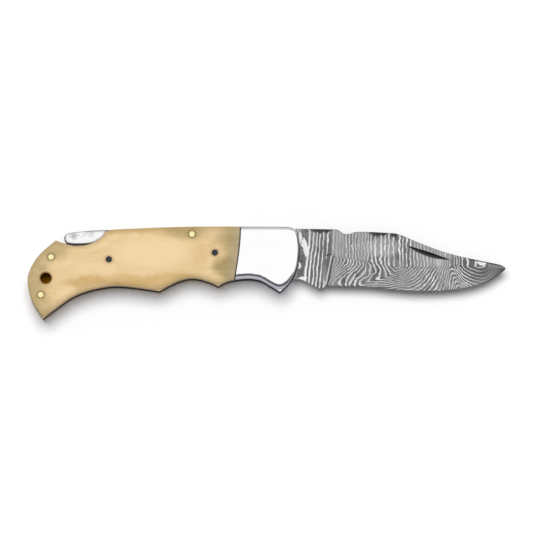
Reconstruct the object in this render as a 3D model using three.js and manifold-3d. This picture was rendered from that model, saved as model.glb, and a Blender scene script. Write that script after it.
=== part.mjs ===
// A lock-back folding pocket knife, open and lying on its far side.
//
// Millimetres. +X runs towards the tip, +Y towards the spine, +Z towards the near side.
// Every piece is laid out from the blade's pivot, on the middle plane of the knife. The far half
// of the handle is the mirror image of the near half. At the end the knife is moved so that the
// origin is at the middle of the bottom of its box.

import * as THREE from 'three';
import { mergeVertices } from 'three/addons/utils/BufferGeometryUtils.js';
import Module from 'manifold-3d';

const wasm = await Module();
wasm.setup();

// Layers, from the middle plane outwards
const SLOT_WIDTH = 3.0;
const LINER_THICKNESS = 1.1;
const SCALE_THICKNESS = 3.4;
const BLADE_THICKNESS = 2.6;
const EDGE_ROUND = 1.5;

// Lengths along the knife
const HANDLE_LENGTH = 100.7;
const BOLSTER_LENGTH = 21.6;
const PIVOT_SETBACK = 5.0;
const RICASSO_LENGTH = 12.6;
const SPACER_LENGTH = 11.7;
const LEVER_SETBACK = 13.5;

// Heights over the pivot
const SPINE_HEIGHT = 13.4;
const SCOOP_DEPTH = 5.95;

// Pins, rivets and holes
const PIVOT_RADIUS = 2.0;
const BRASS_PIN_RADIUS = 1.2;
const RIVET_RADIUS = 1.1;
const BOLSTER_PIN_RADIUS = 1.0;
const LANYARD_RADIUS = 2.03;
const BLIND_DEPTH = 1.4;
const WASHER_RADIUS = 4.2;

// The lock: how far the blade turns, and how far the bar drops into its notch
const CLOSED_ANGLE = THREE.MathUtils.degToRad(173);
const LOCK_ANGLE = THREE.MathUtils.degToRad(1.8);
const HEEL_RADIUS = 8.0;
const RELIEF_RADIUS = 6.0;
const TOOTH_LENGTH = 2.6;
const BAR_SETBACK = 1.5;
const BAR_DEPTH = 5.4;
const LEVER_DEPTH = 5.8;
const SPRING_THICKNESS = 0.9;
const SPRING_ROOT = 2.8;
const SPRING_RISE = 3.0;

// Clearances
const RUNNING_FIT = 0.05;
const PIN_FIT = 0.04;
const SEAM = 0.25;
const LIFT_CLEARANCE = 0.12;
const NOTCH_CLEARANCE = 0.25;
const KICK_CLEARANCE = 0.1;
const SPRING_CLEARANCE = 0.2;
const BLIND_CLEARANCE = 0.1;
const TIP_CLEARANCE = 1.9;

// Fineness of the faceted curves
const CIRCLE_STEPS = 32;
const ROUND_STEPS = 3;
const SPLINE_STEPS = 3;
const CORNER_SPACE = 1.4;
const COARSE_STEP = 2.0;
const FINE_STEP = 0.8;
const ARC_STEP = THREE.MathUtils.degToRad(8);

// Places that follow from the sizes above
const FRONT = PIVOT_SETBACK;
const BUTT = FRONT - HANDLE_LENGTH;
const SEAM_X = FRONT - BOLSTER_LENGTH;
const PLUNGE = FRONT + RICASSO_LENGTH;
const SPACER_FRONT = BUTT + SPACER_LENGTH;
const BLADE_REACH = -SPACER_FRONT - TIP_CLEARANCE;
const LEVER_END = BUTT + LEVER_SETBACK;
const LINER_Z = SLOT_WIDTH / 2;
const SCALE_Z = LINER_Z + LINER_THICKNESS;
const FACE_Z = SCALE_Z + SCALE_THICKNESS;
const WASHER_THICKNESS = (SLOT_WIDTH - BLADE_THICKNESS) / 2;

// Cutting blocks reach this far past the handle
const BEYOND = HANDLE_LENGTH;

const LOCK_PIN = [FRONT - 39.6, SPINE_HEIGHT - 2.9];
const UPPER_TAIL_PIN = [SPACER_FRONT - 3.0, SPINE_HEIGHT - 11.4];
const LOWER_TAIL_PIN = [BUTT + 4.9, -12.1];
const LANYARD_HOLE = [BUTT + 6.8, -5.9];
const REAR_RIVET = [BUTT + 30.2, 1.1];
const FRONT_RIVET = [SEAM_X - 9.5, 3.6];
const BOLSTER_PIN = [SEAM_X + 5.1, 3.5];
const SPRING_HEIGHT = UPPER_TAIL_PIN[1] + SPRING_RISE;

const MATERIALS = {
  bone: new THREE.MeshStandardMaterial({ color: 0xf0d6a6, roughness: 0.4, metalness: 0 }),
  polished: new THREE.MeshStandardMaterial({ color: 0xe8e8e8, roughness: 0.1, metalness: 1 }),
  damascus: new THREE.MeshStandardMaterial({ color: 0x9c9a97, roughness: 0.35, metalness: 1 }),
  steel: new THREE.MeshStandardMaterial({ color: 0x8c8a88, roughness: 0.4, metalness: 1 }),
  brass: new THREE.MeshStandardMaterial({ color: 0xe6c56a, roughness: 0.25, metalness: 1 }),
  dark: new THREE.MeshStandardMaterial({ color: 0x3c4b58, roughness: 0.4, metalness: 1 }),
};

// Side view of the handle

const SPINE_LINE = [
  [BUTT + 30.5, SPINE_HEIGHT - 1.3],
  [BUTT + 35.0, SPINE_HEIGHT - 0.9],
  [SEAM_X - 18.8, SPINE_HEIGHT],
  [FRONT - 7.6, SPINE_HEIGHT],
  [FRONT - 3.1, SPINE_HEIGHT - 0.2],
  [FRONT - 1.3, SPINE_HEIGHT - 0.5],
];

const FRONT_LINE = [
  [FRONT - 1.3, SPINE_HEIGHT - 0.5],
  [FRONT - 0.5, SPINE_HEIGHT - 3.3],
  [FRONT, SPINE_HEIGHT - 8.6],
  [FRONT - 0.9, -2.05],
  [FRONT - 3.5, -7.4],
  [FRONT - 6.9, -10.8],
];

const BOLSTER_SCOOP = [
  [FRONT - 6.9, -10.8],
  [FRONT - 10.6, -8.6],
  [FRONT - 14.3, -SCOOP_DEPTH - 0.65],
  [FRONT - 19.1, -SCOOP_DEPTH],
  [SEAM_X - 3.9, -SCOOP_DEPTH - 0.85],
  [SEAM_X - 8.3, -8.75],
];

const FINGER_SCOOP = [
  [SEAM_X - 8.3, -8.75],
  [SEAM_X - 11.3, -SCOOP_DEPTH - 1.45],
  [SEAM_X - 16.9, -SCOOP_DEPTH],
  [SEAM_X - 22.5, -SCOOP_DEPTH - 0.85],
  [SEAM_X - 30.1, -10.6],
];

const BELLY_LINE = [
  [SEAM_X - 30.1, -10.6],
  [BUTT + 34.3, -8.8],
  [BUTT + 25.0, -9.9],
  [BUTT + 17.5, -12.5],
  [BUTT + 11.9, -16.2],
  [BUTT + 5.7, -20.9],
];

const BUTT_LINE = [
  [BUTT + 5.7, -20.9],
  [BUTT + 1.6, -14.2],
  [BUTT, -7.1],
  [BUTT + 1.1, -2.2],
  [BUTT + 4.5, SPINE_HEIGHT - 10.3],
  [BUTT + 10.4, SPINE_HEIGHT - 5.1],
];

const LEVER_SCOOP = [
  [BUTT + 10.4, SPINE_HEIGHT - 5.1],
  [BUTT + 15.7, SPINE_HEIGHT - 6.9],
  [BUTT + 20.2, SPINE_HEIGHT - 7.15],
  [BUTT + 25.0, SPINE_HEIGHT - 5.7],
  [BUTT + 27.9, SPINE_HEIGHT - 3.5],
  [BUTT + 28.9, SPINE_HEIGHT - 1.9],
  [BUTT + 30.5, SPINE_HEIGHT - 1.3],
];

// Side view of the blade

const BLADE_SPINE = [
  [-BAR_SETBACK, SPINE_HEIGHT],
  [FRONT, SPINE_HEIGHT - 0.4],
  [PLUNGE + 0.4, SPINE_HEIGHT - 0.65],
  [PLUNGE + 2.4, SPINE_HEIGHT - 0.9],
  [PLUNGE + 3.6, SPINE_HEIGHT - 1.9],
  [PLUNGE + 5.0, SPINE_HEIGHT - 2.35],
  [PLUNGE + 6.8, SPINE_HEIGHT - 2.2],
  [PLUNGE + 8.8, SPINE_HEIGHT - 1.55],
  [BLADE_REACH - 42.1, SPINE_HEIGHT - 2.05],
  [BLADE_REACH - 39.5, SPINE_HEIGHT - 2.6],
  [BLADE_REACH - 31.8, SPINE_HEIGHT - 5.8],
  [BLADE_REACH - 24.4, SPINE_HEIGHT - 8.6],
  [BLADE_REACH - 16.9, 2.7],
  [BLADE_REACH - 9.5, 1.1],
  [BLADE_REACH - 3.0, -0.2],
  [BLADE_REACH - 0.9, -0.9],
  [BLADE_REACH, -1.6],
];

const BLADE_EDGE = [
  [PLUNGE - 5.0, -8.1],
  [PLUNGE - 0.8, -8.5],
  [PLUNGE + 14.0, -9.0],
  [BLADE_REACH - 39.3, -10.2],
  [BLADE_REACH - 30.0, -10.6],
  [BLADE_REACH - 20.7, -10.15],
  [BLADE_REACH - 13.2, -8.95],
  [BLADE_REACH - 7.6, -7.1],
  [BLADE_REACH - 2.1, -3.9],
  [BLADE_REACH, -2.0],
];

const GRIND_LINE = [
  [PLUNGE - 5.0, 3.4],
  [PLUNGE + 6.6, 2.2],
  [PLUNGE + 12.0, 1.1],
  [BLADE_REACH - 40.4, -1.1],
  [BLADE_REACH - 20.0, -0.9],
  [BLADE_REACH - 8.0, -1.2],
  [BLADE_REACH, -1.8],
];

// Half the blade's thickness along its spine, thinner towards the tip
const HALF_BLADE = BLADE_THICKNESS / 2;
const DISTAL_TAPER = [
  [PLUNGE - 5.0, HALF_BLADE],
  [PLUNGE + 25.4, HALF_BLADE],
  [BLADE_REACH - 10.0, 0.7 * HALF_BLADE],
  [BLADE_REACH, 0.4 * HALF_BLADE],
];
const HALF_EDGE = 0.12;
const LEAST_CHEEK = 0.1;

// The ground part of the blade starts inside the ricasso, out of sight
const GROUND_FROM = PLUNGE - 4.5;

const KICK = [PLUNGE - 4.6, -9.4];
const RICASSO_BOTTOM = [
  [PLUNGE - 2.15, -7.6],
  [PLUNGE - 3.2, -9.0],
  KICK,
  [PLUNGE - 6.4, -8.75],
  [FRONT + 2.4, -6.65],
  [FRONT + 0.6, -5.9],
];
const PLUNGE_LINE = [
  [PLUNGE + 0.3, 3.5],
  [PLUNGE, 3.15],
  [PLUNGE - 0.5, 0.7],
  [PLUNGE - 1.6, -4.9],
];

const NICK_CENTRE = [BLADE_REACH - 28.7, SPINE_HEIGHT - 9.1];
const NICK_ANGLE = THREE.MathUtils.degToRad(-18.9);
const NICK_LENGTH = 15.2;
const NICK_DEPTH = 0.7;

// Curves and points

function smoothLine(points) {
  const curve = new THREE.SplineCurve(points.map(([x, y]) => new THREE.Vector2(x, y)));
  return curve.getPoints((points.length - 1) * SPLINE_STEPS);
}

// Joins stretches end to end, each starting where the last one ended. No point lies so near a
// corner that rounding the edge would fold the outline over itself there.
function joined(...stretches) {
  const space = CORNER_SPACE * EDGE_ROUND;
  return stretches.flatMap((stretch) => {
    const [start, end] = [stretch[0], stretch[stretch.length - 1]];
    const clear = (p) => p.distanceTo(start) > space && p.distanceTo(end) > space;
    return [start, ...stretch.slice(1, -1).filter(clear)];
  });
}

function arc(radius, from, to) {
  const steps = Math.ceil(Math.abs(to - from) / ARC_STEP);
  return Array.from({ length: steps + 1 }, (_, i) => {
    const angle = from + ((to - from) * i) / steps;
    return new THREE.Vector2(radius * Math.cos(angle), radius * Math.sin(angle));
  });
}

// The height at x of a smooth line through points listed from left to right
function heightAt(points, x) {
  const last = points.length - 1;
  let i = 0;
  while (i < last - 1 && x > points[i + 1][0]) {
    i += 1;
  }
  const slope = (k) => {
    const [x0, y0] = points[Math.max(k - 1, 0)];
    const [x1, y1] = points[Math.min(k + 1, last)];
    return (y1 - y0) / (x1 - x0);
  };
  const [x0, y0] = points[i];
  const [x1, y1] = points[i + 1];
  const width = x1 - x0;
  const t = THREE.MathUtils.clamp((x - x0) / width, 0, 1);
  const rise = t * t * (3 - 2 * t);
  const startBend = t * (1 - t) * (1 - t) * width * slope(i);
  const endBend = t * t * (1 - t) * width * slope(i + 1);
  return y0 + (y1 - y0) * rise + startBend - endBend;
}

// Solids

function toSolid(geometry) {
  const bare = geometry.index ? geometry.toNonIndexed() : geometry.clone();
  bare.deleteAttribute('normal');
  bare.deleteAttribute('uv');
  const merged = mergeVertices(bare, 1e-4);
  const mesh = new wasm.Mesh({
    numProp: 3,
    vertProperties: Float32Array.from(merged.attributes.position.array),
    triVerts: Uint32Array.from(merged.index.array),
  });
  return new wasm.Manifold(mesh);
}

function toGeometry(solid) {
  const mesh = solid.getMesh();
  const geometry = new THREE.BufferGeometry();
  geometry.setAttribute('position', new THREE.BufferAttribute(mesh.vertProperties, 3));
  geometry.setIndex(new THREE.BufferAttribute(mesh.triVerts, 1));
  geometry.computeVertexNormals();
  return geometry;
}

// An outline with thickness, from height low to height high
function plate(outline, low, high) {
  const options = { depth: high - low, bevelEnabled: false, curveSegments: 1 };
  const geometry = new THREE.ExtrudeGeometry(new THREE.Shape(outline), options);
  geometry.translate(0, 0, low);
  return toSolid(geometry);
}

// A plate whose upper edge is rounded all round
function roundedPlate(outline, low, high, round) {
  const options = {
    depth: high - low - round,
    bevelThickness: round,
    bevelSize: round,
    bevelOffset: -round,
    bevelSegments: ROUND_STEPS,
    curveSegments: 1,
  };
  const geometry = new THREE.ExtrudeGeometry(new THREE.Shape(outline), options);
  geometry.translate(0, 0, low);
  const under = block(-2 * BEYOND, BEYOND, -BEYOND, BEYOND, low - 2 * round, low);
  return toSolid(geometry).subtract(under);
}

function block(left, right, bottom, top, low, high) {
  const geometry = new THREE.BoxGeometry(right - left, top - bottom, high - low);
  geometry.translate((left + right) / 2, (bottom + top) / 2, (low + high) / 2);
  return toSolid(geometry);
}

function rod([x, y], radius, low, high) {
  const geometry = new THREE.CylinderGeometry(radius, radius, high - low, CIRCLE_STEPS);
  geometry.rotateX(Math.PI / 2);
  geometry.translate(x, y, (low + high) / 2);
  return toSolid(geometry);
}

function without(solid, holes) {
  return holes.reduce((rest, hole) => rest.subtract(hole), solid);
}

// The same piece on the other side of the middle plane
function mirrored(geometry) {
  const copy = geometry.clone();
  const position = copy.attributes.position;
  for (let i = 0; i < position.count; i += 1) {
    position.setZ(i, -position.getZ(i));
  }
  const index = copy.index;
  for (let i = 0; i < index.count; i += 3) {
    const second = index.getX(i + 1);
    index.setX(i + 1, index.getX(i + 2));
    index.setX(i + 2, second);
  }
  copy.computeVertexNormals();
  return copy;
}

// Handle

const HANDLE_OUTLINE = joined(
  smoothLine(SPINE_LINE),
  smoothLine(FRONT_LINE),
  smoothLine(BOLSTER_SCOOP),
  smoothLine(FINGER_SCOOP),
  smoothLine(BELLY_LINE),
  smoothLine(BUTT_LINE),
  smoothLine(LEVER_SCOOP),
);

// Everything ahead of the slightly bowed line where scale and bolster meet
function aheadOfSeam(offset) {
  const seam = smoothLine([
    [SEAM_X + 0.3 + offset, SPINE_HEIGHT + 2],
    [SEAM_X - 0.15 + offset, SPINE_HEIGHT - 6],
    [SEAM_X - 0.9 + offset, 1.1],
    [SEAM_X - 2.3 + offset, -SCOOP_DEPTH - 2],
  ]);
  const below = new THREE.Vector2(SEAM_X - 2.3 + offset, -BEYOND);
  const corner = new THREE.Vector2(BEYOND, -BEYOND);
  const top = new THREE.Vector2(BEYOND, SPINE_HEIGHT + 2);
  return plate([...seam, below, corner, top], 0, 2 * FACE_Z);
}

function throughHole(place, radius, clearance = PIN_FIT) {
  return rod(place, radius + clearance, 0, 2 * FACE_Z);
}

function blindHole(place, radius) {
  return rod(place, radius + PIN_FIT, 0, SCALE_Z + BLIND_DEPTH + BLIND_CLEARANCE);
}

const TAIL_HOLES = () => [
  throughHole(UPPER_TAIL_PIN, BRASS_PIN_RADIUS),
  throughHole(LOWER_TAIL_PIN, BRASS_PIN_RADIUS),
  throughHole(LANYARD_HOLE, LANYARD_RADIUS, 0),
];

const SCALE_HOLES = () => [
  ...TAIL_HOLES(),
  throughHole(LOCK_PIN, BRASS_PIN_RADIUS),
  throughHole(REAR_RIVET, RIVET_RADIUS),
  throughHole(FRONT_RIVET, RIVET_RADIUS),
];

function scale() {
  const slab = roundedPlate(HANDLE_OUTLINE, SCALE_Z, FACE_Z, EDGE_ROUND);
  return without(slab.subtract(aheadOfSeam(-SEAM / 2)), SCALE_HOLES());
}

function bolster() {
  const slab = roundedPlate(HANDLE_OUTLINE, SCALE_Z, FACE_Z, EDGE_ROUND);
  const holes = [blindHole([0, 0], PIVOT_RADIUS), blindHole(BOLSTER_PIN, BOLSTER_PIN_RADIUS)];
  return without(slab.intersect(aheadOfSeam(SEAM / 2)), holes);
}

function liner() {
  const sheet = plate(HANDLE_OUTLINE, LINER_Z, SCALE_Z);
  const holes = [blindHole([0, 0], PIVOT_RADIUS), blindHole(BOLSTER_PIN, BOLSTER_PIN_RADIUS)];
  return without(sheet, [...SCALE_HOLES(), ...holes]);
}

function rearSpacer() {
  const filler = plate(HANDLE_OUTLINE, -LINER_Z, LINER_Z);
  const tail = block(-2 * BEYOND, SPACER_FRONT, -BEYOND, BEYOND, -FACE_Z, FACE_Z);
  const pocket = block(
    SPACER_FRONT - SPRING_ROOT - SPRING_CLEARANCE,
    SPACER_FRONT + SPRING_CLEARANCE,
    SPRING_HEIGHT - SPRING_THICKNESS / 2 - SPRING_CLEARANCE,
    SPRING_HEIGHT + SPRING_THICKNESS / 2 + SPRING_CLEARANCE,
    -FACE_Z,
    FACE_Z,
  );
  const holes = [UPPER_TAIL_PIN, LOWER_TAIL_PIN].map((place) =>
    rod(place, BRASS_PIN_RADIUS + PIN_FIT, -FACE_Z, FACE_Z),
  );
  const lanyard = rod(LANYARD_HOLE, LANYARD_RADIUS, -FACE_Z, FACE_Z);
  return without(filler.intersect(tail), [pocket, lanyard, ...holes]);
}

// Blade

function turned([x, y], angle) {
  const cos = Math.cos(angle);
  const sin = Math.sin(angle);
  return [x * cos - y * sin, x * sin + y * cos];
}

// The tooth's underside follows the heel, just clear of it while the bar is lifted
const TOOTH_RADIUS = HEEL_RADIUS + LIFT_CLEARANCE;
const TOOTH_FRONT = [-BAR_SETBACK, Math.sqrt(TOOTH_RADIUS ** 2 - BAR_SETBACK ** 2)];
const TOOTH_REAR_X = -BAR_SETBACK - TOOTH_LENGTH;
const TOOTH_REAR = [TOOTH_REAR_X, Math.sqrt(TOOTH_RADIUS ** 2 - TOOTH_REAR_X ** 2)];

// Where a point of the lock bar is once its tooth has dropped into the notch
function whenLocked([x, y]) {
  const [dx, dy] = turned([x - LOCK_PIN[0], y - LOCK_PIN[1]], -LOCK_ANGLE);
  return [LOCK_PIN[0] + dx, LOCK_PIN[1] + dy];
}

function angleOf([x, y]) {
  return Math.atan2(y, x);
}

// The tang: its spine, then back down its rear, with the notch, the heel and the relief
function tangOutline() {
  const lockedFront = whenLocked(TOOTH_FRONT);
  const lockedRear = whenLocked(TOOTH_REAR);
  const wallFront = -BAR_SETBACK + NOTCH_CLEARANCE;
  const wallRear = lockedRear[0] - NOTCH_CLEARANCE;
  const floorFront = new THREE.Vector2(wallFront, lockedFront[1] - NOTCH_CLEARANCE);
  const floorRear = new THREE.Vector2(wallRear, lockedRear[1] - NOTCH_CLEARANCE);
  const heelStart = Math.acos(wallRear / HEEL_RADIUS);
  const margin = 2 * LOCK_ANGLE + NOTCH_CLEARANCE / HEEL_RADIUS;
  const reliefStart = angleOf(TOOTH_FRONT) + CLOSED_ANGLE - margin;
  const reliefEnd = angleOf(TOOTH_REAR) + CLOSED_ANGLE + margin;
  const heelEnd = reliefStart - (HEEL_RADIUS - RELIEF_RADIUS) / HEEL_RADIUS;
  const spine = bladeStations(wallFront, GROUND_FROM).map(
    (x) => new THREE.Vector2(x, heightAt(BLADE_SPINE, x)),
  );
  return [
    ...arc(HEEL_RADIUS, heelEnd, heelStart),
    floorRear,
    floorFront,
    ...spine,
    ...smoothLine(PLUNGE_LINE),
    ...smoothLine(RICASSO_BOTTOM),
    ...arc(RELIEF_RADIUS, reliefEnd, reliefStart),
  ];
}

// Places along the blade where its section is worked out, closer together at the thumb notch
function bladeStations(from, to) {
  const notchStart = PLUNGE + 1.4;
  const notchEnd = PLUNGE + 9.4;
  const stations = [from];
  let x = from + COARSE_STEP;
  while (x < to - FINE_STEP) {
    stations.push(x);
    x += x > notchStart && x < notchEnd ? FINE_STEP : COARSE_STEP;
  }
  return [...stations, to];
}

// The ground part: at each station a section with flat cheeks above and a wedge below
function groundBlade() {
  const stations = [...bladeStations(GROUND_FROM, BLADE_REACH - FINE_STEP), BLADE_REACH];
  const corners = 6;
  const position = [];
  for (const x of stations) {
    const top = heightAt(BLADE_SPINE, x);
    const edge = heightAt(BLADE_EDGE, x);
    const line = heightAt(GRIND_LINE, x);
    const grind = THREE.MathUtils.clamp(line, edge + LEAST_CHEEK, top - LEAST_CHEEK);
    const half = Math.min(heightAt(DISTAL_TAPER, x), HALF_BLADE);
    position.push(x, top, half, x, grind, half, x, edge, HALF_EDGE);
    position.push(x, edge, -HALF_EDGE, x, grind, -half, x, top, -half);
  }
  const index = [];
  for (let i = 0; i < stations.length - 1; i += 1) {
    for (let k = 0; k < corners; k += 1) {
      const a = i * corners + k;
      const b = i * corners + ((k + 1) % corners);
      index.push(a, b, b + corners, a, b + corners, a + corners);
    }
  }
  const last = (stations.length - 1) * corners;
  for (let k = 1; k < corners - 1; k += 1) {
    index.push(0, k + 1, k);
    index.push(last, last + k, last + k + 1);
  }
  const geometry = new THREE.BufferGeometry();
  geometry.setAttribute('position', new THREE.Float32BufferAttribute(position, 3));
  geometry.setIndex(index);
  return toSolid(geometry);
}

// The nail nick is what a thin bevelled wheel leaves in the blade's near side
function nickWheel() {
  const radius = ((NICK_LENGTH / 2) ** 2 + NICK_DEPTH ** 2) / (2 * NICK_DEPTH);
  const profile = [
    new THREE.Vector2(0, -2 * NICK_DEPTH),
    new THREE.Vector2(radius - 2 * NICK_DEPTH, -2 * NICK_DEPTH),
    new THREE.Vector2(radius, 0),
    new THREE.Vector2(radius - 2 * NICK_DEPTH, 2 * NICK_DEPTH),
    new THREE.Vector2(0, 2 * NICK_DEPTH),
  ];
  const geometry = new THREE.LatheGeometry(profile, 6 * CIRCLE_STEPS);
  geometry.rotateZ(NICK_ANGLE);
  geometry.translate(NICK_CENTRE[0], NICK_CENTRE[1], nickFace() + radius - NICK_DEPTH);
  return toSolid(geometry);
}

function nickFace() {
  return heightAt(DISTAL_TAPER, NICK_CENTRE[0]);
}

function blade() {
  const tang = plate(tangOutline(), -HALF_BLADE, HALF_BLADE);
  const pivotHole = rod([0, 0], PIVOT_RADIUS + RUNNING_FIT, -FACE_Z, FACE_Z);
  return without(tang.add(groundBlade()), [pivotHole, nickWheel()]);
}

// Lock bar and its spring

// The lever, from its underside round its tip and along its top to the spine
const LEVER_OUTLINE = [
  [LEVER_END + 8.9, SPINE_HEIGHT - 6.2],
  [LEVER_END + 1.8, SPINE_HEIGHT - 6.3],
  [LEVER_END + 0.5, SPINE_HEIGHT - 5.3],
  [LEVER_END, SPINE_HEIGHT - 3.6],
  [LEVER_END + 1.4, SPINE_HEIGHT - 2.2],
  [LEVER_END + 5.9, SPINE_HEIGHT - 1.45],
  [LEVER_END + 13.3, SPINE_HEIGHT - 0.9],
  [LEVER_END + 21.5, SPINE_HEIGHT - 0.8],
];

// The front underside is as low as the closed blade's kick allows once the tooth has dropped
const KICK_CLOSED = turned(KICK, -CLOSED_ANGLE);
const KICK_DROP = (KICK_CLOSED[0] - LOCK_PIN[0]) * Math.tan(LOCK_ANGLE);
const FRONT_UNDERSIDE = KICK_CLOSED[1] + KICK_DROP + KICK_CLEARANCE;

const BAR_UNDERSIDE = [
  [TOOTH_REAR_X, FRONT_UNDERSIDE],
  [LOCK_PIN[0] + 15, FRONT_UNDERSIDE],
  [LOCK_PIN[0] + 10, SPINE_HEIGHT - BAR_DEPTH],
  [LOCK_PIN[0] - 10, SPINE_HEIGHT - BAR_DEPTH],
  [LEVER_END + 16, SPINE_HEIGHT - LEVER_DEPTH],
];

function lockBar() {
  const corner = (point) => new THREE.Vector2(...point);
  const outline = [
    ...smoothLine(LEVER_OUTLINE),
    ...smoothLine(SPINE_LINE.slice(2, 4)),
    corner([-BAR_SETBACK, SPINE_HEIGHT]),
    ...arc(TOOTH_RADIUS, angleOf(TOOTH_FRONT), angleOf(TOOTH_REAR)),
    ...BAR_UNDERSIDE.map(corner),
  ];
  const bar = plate(outline, -HALF_BLADE, HALF_BLADE);
  return bar.subtract(rod(LOCK_PIN, BRASS_PIN_RADIUS + RUNNING_FIT, -FACE_Z, FACE_Z));
}

// A leaf from its pocket in the spacer to the underside of the lock bar's tail
function lockSpring() {
  const half = SPRING_THICKNESS / 2;
  const tip = SPINE_HEIGHT - LEVER_DEPTH - half - SPRING_CLEARANCE;
  const line = smoothLine([
    [SPACER_FRONT - SPRING_ROOT, SPRING_HEIGHT],
    [SPACER_FRONT + 1.0, SPRING_HEIGHT],
    [SPACER_FRONT + 10.0, SPRING_HEIGHT + 0.5],
    [LEVER_END + 15.0, tip - 0.5],
    [LEVER_END + 19.0, tip],
  ]);
  const side = (offset) =>
    line.map((point, i) => {
      const ahead = line[Math.min(i + 1, line.length - 1)];
      const behind = line[Math.max(i - 1, 0)];
      const along = ahead.clone().sub(behind).normalize();
      return new THREE.Vector2(point.x - along.y * offset, point.y + along.x * offset);
    });
  return plate([...side(half), ...side(-half).reverse()], -HALF_BLADE, HALF_BLADE);
}

// Pins, rivets and washers

const pivotPin = () => {
  const reach = SCALE_Z + BLIND_DEPTH;
  return rod([0, 0], PIVOT_RADIUS, -reach, reach);
};

const brassPin = (place) => rod(place, BRASS_PIN_RADIUS, -FACE_Z, FACE_Z);

const rivet = (place) => rod(place, RIVET_RADIUS, LINER_Z, FACE_Z);

const bolsterPin = () => rod(BOLSTER_PIN, BOLSTER_PIN_RADIUS, LINER_Z, SCALE_Z + BLIND_DEPTH);

function washer() {
  const inner = LINER_Z - WASHER_THICKNESS;
  const disc = rod([0, 0], WASHER_RADIUS, inner, LINER_Z);
  return disc.subtract(rod([0, 0], PIVOT_RADIUS + RUNNING_FIT, 0, FACE_Z));
}

// Assembly

const knife = new THREE.Group();

function addPiece(name, geometry, material) {
  const piece = new THREE.Mesh(geometry, material);
  piece.name = name;
  knife.add(piece);
}

function addPair(name, solid, material) {
  const geometry = toGeometry(solid);
  addPiece(`near_${name}`, geometry, material);
  addPiece(`far_${name}`, mirrored(geometry), material);
}

addPair('scale', scale(), MATERIALS.bone);
addPair('bolster', bolster(), MATERIALS.polished);
addPair('liner', liner(), MATERIALS.steel);
addPair('washer', washer(), MATERIALS.brass);
addPair('rear_rivet', rivet(REAR_RIVET), MATERIALS.dark);
addPair('front_rivet', rivet(FRONT_RIVET), MATERIALS.dark);
addPair('bolster_pin', bolsterPin(), MATERIALS.steel);
addPiece('rear_spacer', toGeometry(rearSpacer()), MATERIALS.steel);
addPiece('upper_tail_pin', toGeometry(brassPin(UPPER_TAIL_PIN)), MATERIALS.brass);
addPiece('lower_tail_pin', toGeometry(brassPin(LOWER_TAIL_PIN)), MATERIALS.brass);
addPiece('lock_bar_pin', toGeometry(brassPin(LOCK_PIN)), MATERIALS.brass);
addPiece('pivot_pin', toGeometry(pivotPin()), MATERIALS.steel);
addPiece('blade', toGeometry(blade()), MATERIALS.damascus);
addPiece('lock_bar', toGeometry(lockBar()), MATERIALS.steel);
addPiece('lock_spring', toGeometry(lockSpring()), MATERIALS.steel);

const box = new THREE.Box3().setFromObject(knife);
const centre = box.getCenter(new THREE.Vector3());
knife.position.set(-centre.x, -centre.y, -box.min.z);

export default knife;
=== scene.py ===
# A lock-back folding pocket knife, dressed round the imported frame.
#
# Outlines are in millimetres from the blade's pivot, on the middle plane of the knife, as in the
# part's own source. Every mesh is in metres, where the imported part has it.

import math

import bmesh
import bpy
import numpy as np
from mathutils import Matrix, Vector
from mathutils.geometry import delaunay_2d_cdt


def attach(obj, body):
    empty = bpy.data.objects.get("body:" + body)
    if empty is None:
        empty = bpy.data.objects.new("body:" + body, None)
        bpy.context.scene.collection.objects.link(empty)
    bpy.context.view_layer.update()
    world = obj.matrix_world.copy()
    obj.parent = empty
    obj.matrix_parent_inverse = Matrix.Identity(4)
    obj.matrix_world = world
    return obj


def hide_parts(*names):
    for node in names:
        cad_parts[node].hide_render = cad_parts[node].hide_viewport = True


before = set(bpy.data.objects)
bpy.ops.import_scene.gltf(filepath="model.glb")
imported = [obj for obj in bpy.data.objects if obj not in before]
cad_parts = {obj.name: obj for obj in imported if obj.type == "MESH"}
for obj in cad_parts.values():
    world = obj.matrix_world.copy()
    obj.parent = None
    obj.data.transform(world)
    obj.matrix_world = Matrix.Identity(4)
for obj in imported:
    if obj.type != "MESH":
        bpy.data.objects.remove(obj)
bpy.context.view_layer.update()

MM = 0.001
PIVOT = Vector((6.8, 3.713, 6.0))

# Sizes shared with the frame
FRONT = 5.0
BUTT = FRONT - 100.7
SEAM_X = FRONT - 21.6
PLUNGE = FRONT + 12.6
SPACER_FRONT = BUTT + 11.7
REACH = -SPACER_FRONT - 1.9
LEVER_END = BUTT + 13.5
SPINE = 13.4
SCOOP = 5.95
LINER_Z = 1.5
SCALE_Z = 2.6
FACE_Z = 6.0
HALF_BLADE = 1.3
SEAM = 0.25

BRASS_RADIUS = 1.2
RIVET_RADIUS = 1.1
LANYARD_RADIUS = 2.03
LANYARD_RIM = 0.5
LANYARD_RIM_DEPTH = 0.4
PIVOT_RADIUS = 2.0
PIN_FIT = 0.04
BORE_FIT = 0.05

# The lock: the tang's heel, the relief below it, the notch's floor, and the lock bar's tooth
HEEL_RADIUS = 8.0
HEEL_START = math.radians(-139)
RELIEF_RADIUS = 6.0
RELIEF_START = math.radians(-87)
RELIEF_END = math.radians(-125)
NOTCH_FLOOR = [(-4.47, 5.8), (-1.25, 6.69)]
TOOTH_RADIUS = 8.12
TOOTH_FRONT_X = -1.5
TOOTH_REAR_X = -4.1

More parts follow.
